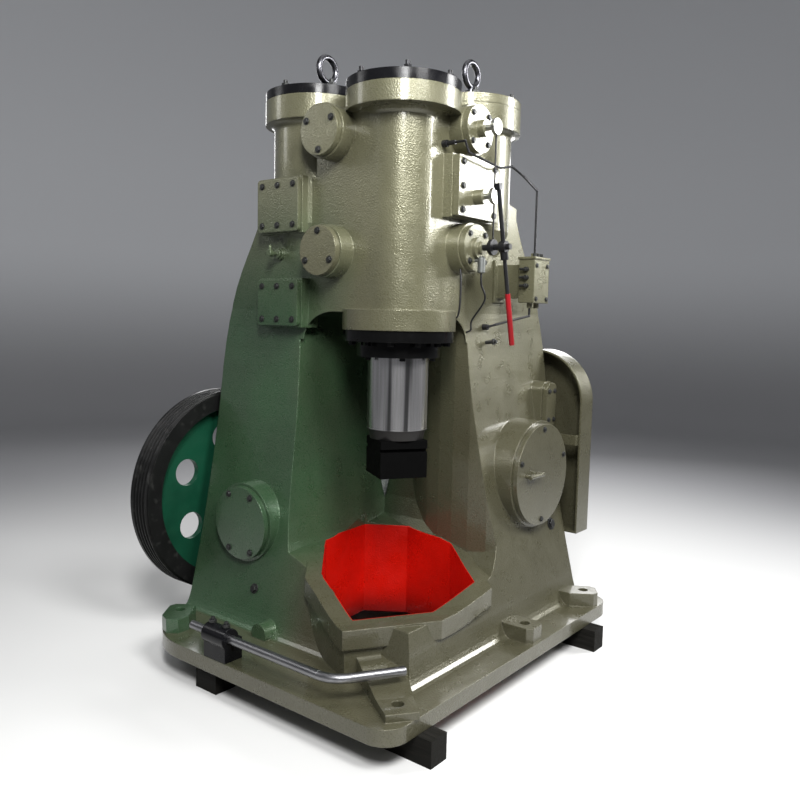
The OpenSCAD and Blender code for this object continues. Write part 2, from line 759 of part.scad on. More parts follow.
module pulley() {
  x = ram_x - end_x - 66 - pulley_w;
  color([0.05, 0.12, 0.08]) translate([x, ram_y - pulley_y, pulley_z]) rotate([0, 90, 0]) difference() {
    union() {
      rotate_extrude() difference() {
        translate([pulley_r - 80, 0]) square([80, pulley_w]);
        for (i = [0 : 4]) translate([pulley_r - 15, 16 + i * 22])
          polygon([[0, 6], [16, 0], [16, 22 - 3], [0, 22 - 9]]);
      }
      translate([0, 0, pulley_w / 2 - 14]) cylinder(h = 28, r = pulley_r - 70);
      cylinder(h = pulley_w, r = 110);
    }
    translate([0, 0, -5]) cylinder(h = pulley_w + 10, r = shaft_r + 0.05);
    for (a = [0 : 60 : 300]) rotate(a + 5) translate([pulley_r * 0.53, 0, -5]) cylinder(h = pulley_w + 10, r = 62);
  }
}

module pulley_shaft() {
  color([0.5, 0.5, 0.5])
    rod_x(ram_x - end_x - 86 - pulley_w, ram_y - pulley_y, pulley_z, shaft_r, 86 + pulley_w + 240);
}

module stadium(r) {
  circle(r = r);
  translate([-r, -guard_drop]) square([2 * r, guard_drop]);
}

module belt_guard() {
  color([0.33, 0.34, 0.22]) translate([guard_x, guard_y + guard_d, guard_z]) rotate([90, 0, 0]) {
    linear_extrude(height = guard_d) difference() {
      stadium(guard_r);
      translate([-guard_r + guard_t, -guard_drop + guard_t]) square([2 * (guard_r - guard_t), guard_drop]);
      circle(r = guard_r - guard_t);
    }
    linear_extrude(height = guard_t) stadium(guard_r);
  }
}

module guard_bracket() {
  color([0.33, 0.34, 0.22]) translate([guard_x + guard_r - guard_t - seat, ram_y + end_y + 36.5, 780]) {
    translate([-190, 0, 0]) cube([190, 12, 50]);
    translate([-12, 0, 0]) cube([12, 90, 50]);
  }
}

module treadle_bearing() {
  x = ram_x - 362;
  color([0.04, 0.04, 0.04]) difference() {
    union() {
      translate([x, plate_y0 + 1, plate_t + seat]) cube([124, 84, bar_z - plate_t - 6]);
      translate([x, treadle_y, bar_z]) rotate([0, 90, 0]) cylinder(h = 124, r = 40);
      for (i = [22, 102]) translate([x + i, treadle_y, bar_z + 20]) cylinder(h = 36, r = 10);
    }
    rod_x(x - 20, treadle_y, bar_z, bar_r + 0.05, 170);
  }
}

module treadle_bar() {
  color([0.6, 0.6, 0.6]) {
    rod_x(ram_x - 465, treadle_y, bar_z, bar_r, bend_x - ram_x + 465 + 4);
    // the bend is a hair thinner than the straight lengths that it enters
    translate([bend_x, treadle_y + bend_r, bar_z]) rotate([0, 0, -90]) rotate_extrude(angle = bend)
      translate([bend_r, 0]) circle(r = bar_r - 0.6);
    translate([bend_x + bend_r * sin(bend), treadle_y + bend_r * (1 - cos(bend)), bar_z])
      rotate([0, 0, bend]) translate([-4, 0, 0]) rotate([0, 90, 0]) cylinder(h = 200, r = bar_r);
  }
}

module skid_beams() {
  color([0.05, 0.05, 0.05]) {
    for (y = [ram_y - 518, ram_y + 716]) translate([plate_x0 + 60, y - 44, -beam_h - seat])
      cube([base_x, 88, beam_h]);
    // packing blocks under the treadle side
    translate([ram_x - 442, plate_y0 + 24, -beam_h - seat]) cube([122, 100, beam_h]);
    translate([plate_x0 + 24, plate_y0 + 200, -beam_h - seat]) cube([200, 70, beam_h]);
  }
}

frame_casting();
ram_cylinder_cover();
left_cylinder_cover();
right_cylinder_cover();
eye_bolt_left();
eye_bolt_right();
cover_studs();
gland_ring();
gland_follower();
ram();
upper_die();
upper_round_cover();
lower_round_cover();
upper_side_plate();
lower_side_plate();
oil_fitting();
left_side_cover();
upper_valve_cover();
valve_plate();
lower_valve_cover();
upper_crank();
middle_crank();
hand_lever();
lever_grip();
link_rod();
lubricator_box();
oil_pipes();
crankcase_cover();
cover_handle();
bearing_cap();
pulley();
pulley_shaft();
belt_guard();
guard_bracket();
treadle_bearing();
treadle_bar();
skid_beams();
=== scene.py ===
import math

import bmesh
import bpy
from mathutils import Matrix, Vector


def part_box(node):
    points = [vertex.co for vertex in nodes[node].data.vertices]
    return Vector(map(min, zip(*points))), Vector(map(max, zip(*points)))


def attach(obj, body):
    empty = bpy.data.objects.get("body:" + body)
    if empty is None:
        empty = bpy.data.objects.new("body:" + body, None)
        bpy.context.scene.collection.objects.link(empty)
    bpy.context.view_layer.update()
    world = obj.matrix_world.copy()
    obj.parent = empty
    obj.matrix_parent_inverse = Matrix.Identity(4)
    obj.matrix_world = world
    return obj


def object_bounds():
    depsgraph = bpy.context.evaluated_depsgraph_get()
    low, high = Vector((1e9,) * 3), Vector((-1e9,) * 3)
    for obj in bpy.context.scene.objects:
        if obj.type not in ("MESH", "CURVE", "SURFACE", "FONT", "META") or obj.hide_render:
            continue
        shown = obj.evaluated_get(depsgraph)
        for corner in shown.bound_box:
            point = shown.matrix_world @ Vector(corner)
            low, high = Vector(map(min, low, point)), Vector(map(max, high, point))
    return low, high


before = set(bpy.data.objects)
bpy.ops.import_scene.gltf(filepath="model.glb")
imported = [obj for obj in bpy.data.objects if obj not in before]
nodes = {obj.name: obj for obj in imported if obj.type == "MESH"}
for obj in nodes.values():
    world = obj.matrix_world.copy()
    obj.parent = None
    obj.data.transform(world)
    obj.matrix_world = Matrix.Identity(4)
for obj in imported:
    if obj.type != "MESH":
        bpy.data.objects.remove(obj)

cad_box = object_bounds()
scene = bpy.context.scene

# Lengths are in metres. The camera's angles and those of the bolt circles are in degrees.
LEFT, RIGHT = (-1, 0, 0), (1, 0, 0)
FRONT, BACK = (0, -1, 0), (0, 1, 0)
UP = (0, 0, 1)


def middle(box):
    """centre of a box given by its two corners"""
    return [(a + b) / 2 for a, b in zip(*box)]


# ---------------------------------------------------------------- camera
CAMERA_POS = (2.162, -2.706, 1.366)
YAW, PITCH, ROLL = 38.33, 5.746, 1.241
LENS, SENSOR = 35.9, 36
CLIP_END = 200


def camera():
    """camera at the photographer's place, turned left, tilted down and rolled a little"""
    cam_data = bpy.data.cameras.new("camera")
    cam = bpy.data.objects.new("camera", cam_data)
    scene.collection.objects.link(cam)
    yaw, pitch, roll = math.radians(YAW), math.radians(PITCH), math.radians(ROLL)
    fwd = Vector((-math.sin(yaw) * math.cos(pitch), math.cos(yaw) * math.cos(pitch),
                  -math.sin(pitch)))
    level = Vector((math.cos(yaw), math.sin(yaw), 0))
    upright = level.cross(fwd)
    right = level * math.cos(roll) + upright * math.sin(roll)
    up = upright * math.cos(roll) - level * math.sin(roll)
    cam.matrix_world = Matrix((
        (right.x, up.x, -fwd.x, CAMERA_POS[0]),
        (right.y, up.y, -fwd.y, CAMERA_POS[1]),
        (right.z, up.z, -fwd.z, CAMERA_POS[2]),
        (0, 0, 0, 1)))
    cam_data.lens = LENS
    cam_data.sensor_width = SENSOR
    cam_data.clip_end = CLIP_END
    scene.camera = cam


# ---------------------------------------------------------------- shader trees
COAT_ROUGH = 0.12


class Tree:
    """one material, with a short call for each kind of node that it uses"""

    def __init__(self, name, shine=0.5):
        self.mat = bpy.data.materials.new(name)
        self.mat.use_nodes = True
        self.tree = self.mat.node_tree
        self.shader = next(n for n in self.tree.nodes if n.type == "BSDF_PRINCIPLED")
        self.shader.inputs["Specular IOR Level"].default_value = shine
        self.obj = self.node("ShaderNodeTexCoord").outputs["Object"]

    def node(self, kind, **props):
        n = self.tree.nodes.new(kind)
        for k, v in props.items():
            setattr(n, k, v)
        return n

    def link(self, a, b):
        self.tree.links.new(a, b)

    def put(self, socket, value):
        """link an output to the socket, or set a constant on the socket itself"""
        if hasattr(value, "is_output"):
            self.link(value, socket)
        else:
            socket.default_value = value

    def math(self, op, a, b=0.0, clamp=False):
        n = self.node("ShaderNodeMath", operation=op, use_clamp=clamp)
        self.put(n.inputs[0], a)
        self.put(n.inputs[1], b)
        return n.outputs[0]

    def scaled(self, scale):
        """object coordinates times a scale for each axis: a small one draws a texture out"""
        n = self.node("ShaderNodeMapping")
        n.inputs["Scale"].default_value = scale
        self.link(self.obj, n.inputs["Vector"])
        return n.outputs[0]

    def noise(self, scale, detail=3.0, rough=0.5, vec=None):
        n = self.node("ShaderNodeTexNoise")
        self.link(vec or self.obj, n.inputs["Vector"])
        n.inputs["Scale"].default_value = scale
        n.inputs["Detail"].default_value = detail
        n.inputs["Roughness"].default_value = rough
        return n.outputs["Fac"]

    def cells(self, scale):
        n = self.node("ShaderNodeTexVoronoi", feature="SMOOTH_F1")
        self.link(self.obj, n.inputs["Vector"])
        n.inputs["Scale"].default_value = scale
        return n.outputs["Distance"]

    def ramp(self, value, lo, hi, a=0.0, b=1.0, smooth=True):
        """a where value is lo, b where it is hi, and a slope between them"""
        n = self.node("ShaderNodeMapRange")
        n.interpolation_type = "SMOOTHSTEP" if smooth else "LINEAR"
        self.put(n.inputs["Value"], value)
        n.inputs["From Min"].default_value = lo
        n.inputs["From Max"].default_value = hi
        n.inputs["To Min"].default_value = a
        n.inputs["To Max"].default_value = b
        return n.outputs["Result"]

    def mix(self, fac, a, b):
        n = self.node("ShaderNodeMix", data_type="RGBA")
        self.put(n.inputs[0], fac)
        self.put(n.inputs[6], (*a, 1) if isinstance(a, tuple) else a)
        self.put(n.inputs[7], (*b, 1) if isinstance(b, tuple) else b)
        return n.outputs[2]

    def xyz(self):
        n = self.node("ShaderNodeSeparateXYZ")
        self.link(self.obj, n.inputs[0])
        return n.outputs[0], n.outputs[1], n.outputs[2]

    def bump(self, *layers, bevel):
        """edges rounded by the radius bevel, then layers of (height, strength, distance)"""
        edge = self.node("ShaderNodeBevel", samples=4)
        edge.inputs["Radius"].default_value = bevel
        last = edge.outputs["Normal"]
        for height, strength, distance in layers:
            n = self.node("ShaderNodeBump")
            n.inputs["Strength"].default_value = strength
            n.inputs["Distance"].default_value = distance
            self.link(height, n.inputs["Height"])
            self.link(last, n.inputs["Normal"])
            last = n.outputs["Normal"]
        self.link(last, self.shader.inputs["Normal"])

    def paint(self, colour, rough, metal=0.0, coat=0.0):
        self.put(self.shader.inputs["Base Color"], colour)
        self.put(self.shader.inputs["Roughness"], rough)
        self.shader.inputs["Metallic"].default_value = metal
        if coat:
            self.shader.inputs["Coat Weight"].default_value = coat
            self.shader.inputs["Coat Roughness"].default_value = COAT_ROUGH


# ---------------------------------------------------------------- where the paint changes
RAM = middle(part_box("ram"))
PULLEY = middle(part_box("pulley"))
COLLAR_FROM, COLLAR_TO = 0.046, 0.040       # heights above the ram's end: dull below them
WEB_TO, RIM_FROM = 0.155, 0.162             # squared radii: the pulley's green web, its black rim

# corners of the anvil well as shares of its two half sizes, before it is turned on the base
WELL_TURN = math.radians(32.6)
WELL_A, WELL_B = 0.370, 0.310
WELL = [(1, -0.91), (1, 0.11), (0.58, 0.89), (-0.14, 0.91),
        (-0.79, 0.53), (-1, -0.06), (-0.52, -0.80), (0.20, -1.07)]

# the well's rim climbs along the base's diagonal, from its front to its back
DIAGONAL = 0.7071
RIM_FRONT, RIM_BACK = -0.40, 0.10
RIM_LOW, RIM_CLIMB = 0.265, 0.15
RED_PAST, SHADOW_PAST = 0.0025, 0.06          # red paint and the floor's painted shadow reach past the well's walls
DEEP_AT, SCARLET_AT = -0.02, 0.13           # heights: painted shade, a deep red, below; scarlet above

# painted shade: the olive paint darkens down from LOW_FROM to LOW_TO, and turns green between these
# places
LOW_FROM, LOW_TO = 1.65, 0.85
GREEN_X_FROM, GREEN_X_TO = 0.04, -0.34
GREEN_Z_FROM, GREEN_Z_TO = 2.10, 1.30
BASE_TOP, GREEN_ABOVE = 0.056, 0.068        # the base plate stays olive

OLIVE = (0.120, 0.115, 0.062)
OLIVE_DARK = (0.090, 0.086, 0.045)
OLIVE_SHADE = (0.034, 0.029, 0.010)           # painted shade near the floor
GREEN = (0.006, 0.058, 0.014)               # towards the pulley side
GREEN_DARK = (0.004, 0.040, 0.010)
FLAKE = (0.30, 0.30, 0.24)
SCARLET = (0.64, 0.008, 0.003)
SCARLET_DARK = (0.52, 0.006, 0.002)
SCARLET_SHADE = (0.16, 0.003, 0.002)         # painted shade at the well's bottom
WEB_GREEN = (0.006, 0.050, 0.026)
WEB_GREEN_DARK = (0.004, 0.034, 0.018)
RIM_BLACK = (0.006, 0.006, 0.006)
RIM_WORN = (0.020, 0.020, 0.019)
RAM_BRIGHT = (0.80, 0.79, 0.79)
RAM_GREY = (0.60, 0.59, 0.59)
# painted reflection of dark surroundings, laid in bands on the ram
RAM_REFLECTED_DARK = (0.05, 0.05, 0.05)
RAM_COLLAR = (0.045, 0.043, 0.042)
BEAM_BLACK = (0.006, 0.006, 0.005)
BEAM_WORN = (0.016, 0.015, 0.013)
GLOSS_SHINE = 0.22
TIMBER_SHINE = 0.06


def inside_well(t, x, y, grow):
    """1 inside the eight-sided well, grown by a distance, else 0"""
    u = t.math("SUBTRACT", x, RAM[0])
    v = t.math("SUBTRACT", y, RAM[1])
    c, s = math.cos(WELL_TURN), math.sin(WELL_TURN)
    a = t.math("SUBTRACT", t.math("MULTIPLY", u, c), t.math("MULTIPLY", v, s))
    b = t.math("ADD", t.math("MULTIPLY", u, s), t.math("MULTIPLY", v, c))
    inside = None
    pts = [(p * WELL_A, q * WELL_B) for p, q in WELL]
    for (a0, b0), (a1, b1) in zip(pts, pts[1:] + pts[:1]):
        na, nb = b1 - b0, a0 - a1
        size = math.hypot(na, nb)
        na, nb = na / size, nb / size
        d = t.math("ADD", t.math("MULTIPLY", a, na), t.math("MULTIPLY", b, nb))
        k = t.math("LESS_THAN", d, na * a0 + nb * b0 + grow)
        inside = k if inside is None else t.math("MULTIPLY", inside, k)
    return inside


def below_rim(t, x, y, z):
    """1 below the well's climbing rim, else 0"""
    back = t.math("SUBTRACT", t.math("SUBTRACT", y, RAM[1]), t.math("SUBTRACT", x, RAM[0]))
    back = t.math("MULTIPLY", back, DIAGONAL)
    climb = t.math("MULTIPLY", t.ramp(back, RIM_FRONT, RIM_BACK, smooth=False), RIM_CLIMB)
    return t.math("LESS_THAN", z, t.math("ADD", climb, RIM_LOW))


def green_share(t, x, z):
    """how green the paint is: more towards the pulley side, none high up or on the base plate"""
    soft = t.math("MULTIPLY", t.math("SUBTRACT", t.noise(1.7, 2), 0.5), 0.4)
    side = t.ramp(t.math("ADD", x, soft), GREEN_X_FROM, GREEN_X_TO)
    share = t.math("MULTIPLY", side, t.ramp(z, GREEN_Z_FROM, GREEN_Z_TO))
    return t.math("MULTIPLY", share, t.ramp(z, BASE_TOP, GREEN_ABOVE))


# ---------------------------------------------------------------- materials
def olive_paint(name, shift=True, red=False):
    """hammered gloss paint; shift lets it turn green, red paints the inside of the well"""
    t = Tree(name)
    x, y, z = t.xyz()
    cells, fine, wave = t.cells(190), t.noise(330, 2), t.noise(9, 2)
    blotch = t.ramp(t.noise(2.3, 4, 0.6), 0.35, 0.7)
    colour = t.mix(blotch, OLIVE, OLIVE_DARK)
    # painted shade: the paint darkens towards the floor, from LOW_FROM down to LOW_TO
    colour = t.mix(t.ramp(z, LOW_FROM, LOW_TO), colour, t.mix(0.25, OLIVE_SHADE, colour))
    if shift:
        colour = t.mix(green_share(t, x, z), colour, t.mix(blotch, GREEN, GREEN_DARK))
    flake = t.math("MULTIPLY", t.ramp(cells, 0.10, 0.42), 0.26)
    colour = t.mix(flake, colour, t.mix(0.5, colour, FLAKE))
    if red:
        wash = t.ramp(t.noise(6, 4, 0.6), 0.3, 0.75)
        scarlet = t.mix(wash, SCARLET, SCARLET_DARK)
        # painted shade: the red darkens towards the well's bottom
        scarlet = t.mix(t.ramp(z, DEEP_AT, SCARLET_AT), SCARLET_SHADE, scarlet)
        inside = t.math("MULTIPLY", inside_well(t, x, y, RED_PAST), below_rim(t, x, y, z))
        colour = t.mix(inside, colour, scarlet)
    t.paint(colour, t.ramp(t.noise(14, 3), 0.3, 0.75, 0.26, 0.40), metal=0.35, coat=0.5)
    t.bump((cells, 0.55, 0.0020), (fine, 0.30, 0.0007), (wave, 0.07, 0.006), bevel=0.007)
    return t.mat


def gloss(name, colour, rough, grain=240):
    """smooth gloss paint with soft darker patches"""
    t = Tree(name, GLOSS_SHINE)
    patch = t.ramp(t.noise(4, 4, 0.6), 0.35, 0.7)
    second = tuple(c * 0.6 + 0.001 for c in colour)
    t.paint(t.mix(patch, colour, second),
            t.ramp(t.noise(18, 3), 0.3, 0.75, rough, rough + 0.16))
    t.bump((t.noise(grain, 2), 0.18, 0.0006), (t.noise(12, 2), 0.08, 0.004), bevel=0.003)
    return t.mat


def pulley_paint(name):
    """green web and hub, black rim and grooves"""
    t = Tree(name, GLOSS_SHINE)
    y, z = t.xyz()[1:]
    u = t.math("SUBTRACT", y, PULLEY[1])
    v = t.math("SUBTRACT", z, PULLEY[2])
    r2 = t.math("ADD", t.math("MULTIPLY", u, u), t.math("MULTIPLY", v, v))
    green = t.mix(t.ramp(t.noise(4, 4, 0.6), 0.35, 0.7), WEB_GREEN, WEB_GREEN_DARK)
    black = t.mix(t.ramp(t.noise(30, 3), 0.55, 0.75), RIM_BLACK, RIM_WORN)
    t.paint(t.mix(t.ramp(r2, WEB_TO, RIM_FROM), green, black),
            t.ramp(t.noise(18, 3), 0.3, 0.75, 0.28, 0.46))
    t.bump((t.noise(200, 2), 0.2, 0.0006), (t.noise(10, 2), 0.1, 0.004), bevel=0.002)
    return t.mat


def steel(name, colour, rough, stretch=(1, 1, 1), grain=90.0, metal=1.0, shine=0.5):
    """steel with a fine grain, which stretch can draw out along an axis, and dull stains"""
    t = Tree(name, shine)
    streak = t.noise(grain, 4, 0.65, t.scaled(stretch))
    stain = t.math("MULTIPLY", t.ramp(t.noise(7, 4, 0.6), 0.4, 0.75), 0.45)
    base = t.mix(t.ramp(streak, 0.3, 0.7), colour, tuple(c * 0.8 for c in colour))
    t.paint(t.mix(stain, base, tuple(c * 0.55 for c in colour)),
            t.ramp(streak, 0.25, 0.75, rough, rough + 0.2), metal)
    t.bump((streak, 0.12, 0.0006), bevel=0.0015)
    return t.mat


def ram_steel(name):
    """polished ram with fine streaks, wide dark vertical bands that are painted reflections of dark
    surroundings, and a dull collar at its lower end
    """
    t = Tree(name)
    z = t.xyz()[2]
    along = t.scaled((1, 1, 0.02))
    streak = t.noise(120, 4, 0.65, along)
    reflection_bands = t.noise(17, 2, 0.5, along)
    base = t.mix(t.ramp(streak, 0.3, 0.7), RAM_BRIGHT, RAM_GREY)
    # painted reflection: wide vertical bands darken the steel as if dark surroundings were mirrored
    # in it
    base = t.mix(t.ramp(reflection_bands, 0.50, 0.60, 0.0, 0.85), base, RAM_REFLECTED_DARK)
    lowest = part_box("ram")[0][2]
    collar = t.ramp(z, lowest + COLLAR_FROM, lowest + COLLAR_TO)
    t.paint(t.mix(collar, base, RAM_COLLAR), t.ramp(collar, 0.0, 1.0, 0.27, 0.5), metal=1.0)
    t.bump((streak, 0.12, 0.0006), bevel=0.0015)
    return t.mat


def timber(name):
    """black painted beams with a grain along X"""
    t = Tree(name, TIMBER_SHINE)
    grain = t.noise(1.6, 6, 0.7, t.scaled((3, 45, 45)))
    t.paint(t.mix(t.ramp(grain, 0.35, 0.7), BEAM_BLACK, BEAM_WORN),
            t.ramp(grain, 0.3, 0.7, 0.45, 0.8))
    t.bump((grain, 0.5, 0.004), bevel=0.004)
    return t.mat


M = {
    "frame": olive_paint("frame_paint", red=True),
    "olive": olive_paint("cover_paint"),
    "plain": olive_paint("plain_paint", shift=False),
    "black": gloss("black_gloss", (0.005, 0.005, 0.006), 0.15),
    "ring": gloss("black_ring", (0.003, 0.003, 0.003), 0.12),
    "green": pulley_paint("pulley_green"),
    "dark": steel("dark_steel", (0.020, 0.020, 0.022), 0.30, grain=60, metal=0.6),
    "chrome": steel("eye_steel", (0.10, 0.10, 0.11), 0.22, grain=60),
    "bright": ram_steel("turned_steel"),
    "stem": steel("stem_steel", (0.45, 0.45, 0.43), 0.25),
    "bar": steel("drawn_bar", (0.26, 0.26, 0.27), 0.26, (0.03, 1, 1), 110),
    "die": steel("forged_die", (0.002, 0.002, 0.002), 0.55, grain=40, metal=0.0, shine=0.03),
    "grip": gloss("red_grip", (0.24, 0.008, 0.012), 0.30, 160),
    "timber": timber("black_timber"),
    "bolt": steel("bolt_steel", (0.030, 0.031, 0.030), 0.34, grain=80, metal=0.6),
    "tube": steel("grey_tube", (0.20, 0.21, 0.20), 0.35, grain=80, metal=0.8)}

PAINT = {
    "frame_casting": "frame", "ram_cylinder_cover": "black", "left_cylinder_cover": "black",
    "right_cylinder_cover": "plain", "eye_bolt_left": "chrome", "eye_bolt_right": "chrome",
    "cover_studs": "dark", "gland_ring": "ring", "gland_follower": "ring", "ram": "bright",
    "upper_die": "die", "upper_round_cover": "plain", "lower_round_cover": "plain",
    "upper_side_plate": "olive", "lower_side_plate": "olive", "oil_fitting": "olive",
    "left_side_cover": "olive", "upper_valve_cover": "plain", "valve_plate": "plain",
    "lower_valve_cover": "plain", "upper_crank": "stem", "middle_crank": "stem",
    "hand_lever": "dark", "lever_grip": "grip", "link_rod": "dark", "lubricator_box": "plain",
    "oil_pipes": "dark", "crankcase_cover": "plain", "cover_handle": "plain",
    "bearing_cap": "plain", "pulley": "green", "pulley_shaft": "stem", "belt_guard": "plain",
    "guard_bracket": "plain", "treadle_bearing": "black", "treadle_bar": "bar",
    "skid_beams": "timber"}


def paint_nodes():
    for name, obj in nodes.items():
        for slot in obj.material_slots:
            slot.material = M[PAINT[name]]


# ---------------------------------------------------------------- meshes
def add_mesh(name, bm, mat, body):
    """one visible piece that rides on a body"""
    me = bpy.data.meshes.new(name)
    bm.to_mesh(me)
    bm.free()
    ob = bpy.data.objects.new(name, me)
    scene.collection.objects.link(ob)
    me.materials.append(mat)
    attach(ob, body)


def skin(bm, rings):
    """faces between neighbouring rings of vertices, and one face over each end"""
    steps = len(rings[0])
    for lo, hi in zip(rings, rings[1:]):
        for k in range(steps):
            bm.faces.new((lo[k], lo[(k + 1) % steps], hi[(k + 1) % steps], hi[k]))
    bm.faces.new(list(reversed(rings[0])))
    bm.faces.new(rings[-1])


def lathe(bm, profile, place, steps=24, hexes=()):
    """rings of (radius, height) about +Z of place; the rings listed in hexes have six flats"""
    rings = []
    for i, (r, h) in enumerate(profile):
        ring = []
        for k in range(steps):
            a = 2 * math.pi * k / steps
            q = r
            if i in hexes:
                b = (a % (math.pi / 3)) - math.pi / 6
                q = r * math.cos(math.pi / 6) / math.cos(b)
            ring.append(bm.verts.new(place @ Vector((q * math.cos(a), q * math.sin(a), h))))
        rings.append(ring)
    skin(bm, rings)


def place_at(pos, axis, spin=0.0):
    """matrix that moves the origin to pos and turns +Z to axis, after a spin in radians"""
    z = Vector(axis).normalized()
    x = z.orthogonal().normalized()
    y = z.cross(x)
    m = Matrix((
        (x.x, y.x, z.x, pos[0]),
        (x.y, y.y, z.y, pos[1]),
        (x.z, y.z, z.z, pos[2]),
        (0, 0, 0, 1)))
    return m @ Matrix.Rotation(spin, 4, "Z")


def rod(bm, a, b, r):
    """round rod from a to b with eased ends"""
    a, b = Vector(a), Vector(b)
    length, ease = (b - a).length, r * 0.12
    lathe(bm, [(r * 0.9, 0), (r, ease), (r, length - ease), (r * 0.9, length)],
          place_at(a, b - a), steps=16)


def tube(bm, pts, r):
    """round tube with smooth bends through the given points"""
    steps, parts = 12, 8
    pts = [Vector(p) for p in pts]
    line = []
    for i in range(len(pts) - 1):
        p0, p1, p2, p3 = pts[max(i - 1, 0)], pts[i], pts[i + 1], pts[min(i + 2, len(pts) - 1)]
        for k in range(parts):
            u = k / parts
            line.append(0.5 * ((2 * p1) + (p2 - p0) * u
                               + (2 * p0 - 5 * p1 + 4 * p2 - p3) * u * u
                               + (3 * p1 - p0 - 3 * p2 + p3) * u ** 3))
    line.append(pts[-1])
    turns = [2 * math.pi * k / steps for k in range(steps)]
    side = (line[1] - line[0]).orthogonal().normalized()
    rings = []
    for i, c in enumerate(line):
        way = (line[min(i + 1, len(line) - 1)] - line[max(i - 1, 0)]).normalized()
        side = (side - way * side.dot(way)).normalized()
        up = way.cross(side)
        rings.append([bm.verts.new(c + (side * math.cos(a) + up * math.sin(a)) * r)
                      for a in turns])
    skin(bm, rings)


def on_wall(start, way):
    """where a line from start first meets the frame casting, and the casting's normal there"""
    _, pos, normal, _ = nodes["frame_casting"].ray_cast(Vector(start), Vector(way).normalized())
    return pos, normal


# ---------------------------------------------------------------- bolts
HEAD, PLATE_HEAD, VALVE_HEAD = 0.011, 0.0105, 0.010     # radii to the head's corners
CAP_HEAD, BOX_HEAD = 0.009, 0.008
NUT, STUD_END = 0.017, 0.014        # nuts on the rear covers, and the stud's end above them
SPIN = 0.37                         # each head is turned on from the one before, in radians
SMALL_CIRCLE, SIDE_CIRCLE = 0.078, 0.136                # radii of the bolt circles
TOP_CIRCLE, CRANKCASE_CIRCLE = 0.196, 0.205
VALVE_NECK = 0.030                  # the valve covers' necks stand out by this from their bolts
ROW_FROM, ROW_STEP = 0.030, 0.093   # three bolts in a row on each side plate
PLATE_EDGE, PLATE_END = 0.028, 0.024                    # bolt centres, from a plate's edges
CAP_EDGE, CAP_END, BOX_TOP = 0.022, 0.040, 0.055        # on the bearing cap and the lubricator box
PLATE_THICK = 0.030                 # of the valve plate
BOX_STEP = 0.004                    # the box's bolts stand this far behind its foremost face


def bolts(name, spots, axis, r=HEAD, stud=0.0):
    """washer, chamfered hexagon and, if stud is set, the end of a stud above it"""
    bm = bmesh.new()
    for i, pos in enumerate(spots):
        m = place_at(pos, axis, spin=SPIN * i)
        h = r * 0.85
        lathe(bm, [(r * 1.28, 0.0002), (r * 1.32, 0.001), (r * 1.32, 0.0022),
                   (r * 1.22, 0.003)], m)
        lathe(bm, [(r, 0.003), (r, h * 0.86), (r * 0.86, h)], m, hexes=(0, 1))
        if stud:
            lathe(bm, [(r * 0.52, h - 0.001), (r * 0.52, h + stud - 0.002),
                       (r * 0.42, h + stud)], m)
    add_mesh(name, bm, M["bolt"], "frame")


def on_circle(centre, axis, radius, angles):
    """spots on a circle about centre, whose plane is square to axis"""
    first, second = {"x": (1, 2), "y": (0, 2), "z": (0, 1)}[axis]
    out = []
    for a in angles:
        spot = list(centre)
        spot[first] += math.cos(math.radians(a)) * radius
        spot[second] += math.sin(math.radians(a)) * radius
        out.append(spot)
    return out


def on_plate(x, ys, zs):
    """spots in rows on a face square to X"""
    return [(x, y, z) for y in ys for z in zs]


def face(node, axis, side):
    """centre of one side of a node's box"""
    lo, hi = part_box(node)
    c = middle((lo, hi))
    i = "xyz".index(axis)
    c[i] = hi[i] if side > 0 else lo[i]
    return c


def treadle_side_bolts():
    spots = on_circle(face("upper_round_cover", "y", -1), "y", SMALL_CIRCLE, (-90, 30, 150))
    bolts("upper_round_bolts", spots, FRONT)
    spots = on_circle(face("lower_round_cover", "y", -1), "y", SMALL_CIRCLE, (-30, 90, 210))
    bolts("lower_round_bolts", spots, FRONT)
    for node in ("upper_side_plate", "lower_side_plate"):
        lo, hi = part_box(node)
        spots = [(lo[0] + ROW_FROM + ROW_STEP * i, lo[1], z)
                 for i in range(3) for z in (lo[2] + PLATE_EDGE, hi[2] - PLATE_EDGE)]
        bolts(node + "_bolts", spots, FRONT, PLATE_HEAD)
    spots = on_circle(face("left_side_cover", "y", -1), "y", SIDE_CIRCLE, (60, 120, 240, 300))
    bolts("left_side_cover_bolts", spots, FRONT)


def top_nuts():
    spots = on_circle(face("left_cylinder_cover", "z", 1), "z", TOP_CIRCLE, range(30, 390, 60))
    bolts("left_cover_nuts", spots, UP, NUT, STUD_END)
    spots = on_circle(face("right_cylinder_cover", "z", 1), "z", TOP_CIRCLE, range(10, 370, 60))
    bolts("right_cover_nuts", spots, UP, NUT, STUD_END)


